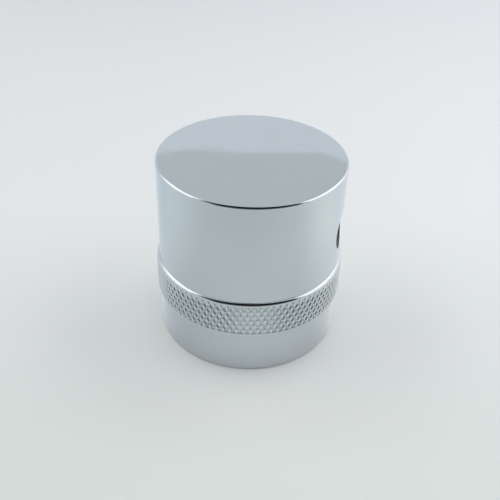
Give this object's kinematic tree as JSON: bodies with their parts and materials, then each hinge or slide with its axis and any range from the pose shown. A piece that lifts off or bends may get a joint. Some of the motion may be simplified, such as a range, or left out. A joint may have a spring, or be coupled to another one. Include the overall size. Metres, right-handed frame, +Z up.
{
  "type": "shower valve handle",
  "caption": "Round chromed shower valve handle: plain drum over a diamond-knurled grip band and short skirt, open side hole, splined socket inside.",
  "frame": {"origin": "centre of the open end's rim, on the handle's axis", "axes": "+Z up the handle's axis from the open end to the closed top; +X out through the side hole"},
  "size_m": [0.0516, 0.0516, 0.0518],
  "materials": {
    "chrome_plate": "polished chrome plate over turned brass",
    "bare_brass": "bare broached brass",
    "screw_steel": "plain stainless steel"
  },
  "bodies": {
    "root": {"handle_body": "chrome_plate", "spline_insert": "bare_brass", "grub_screw": "screw_steel"}
  },
  "joints": []
}
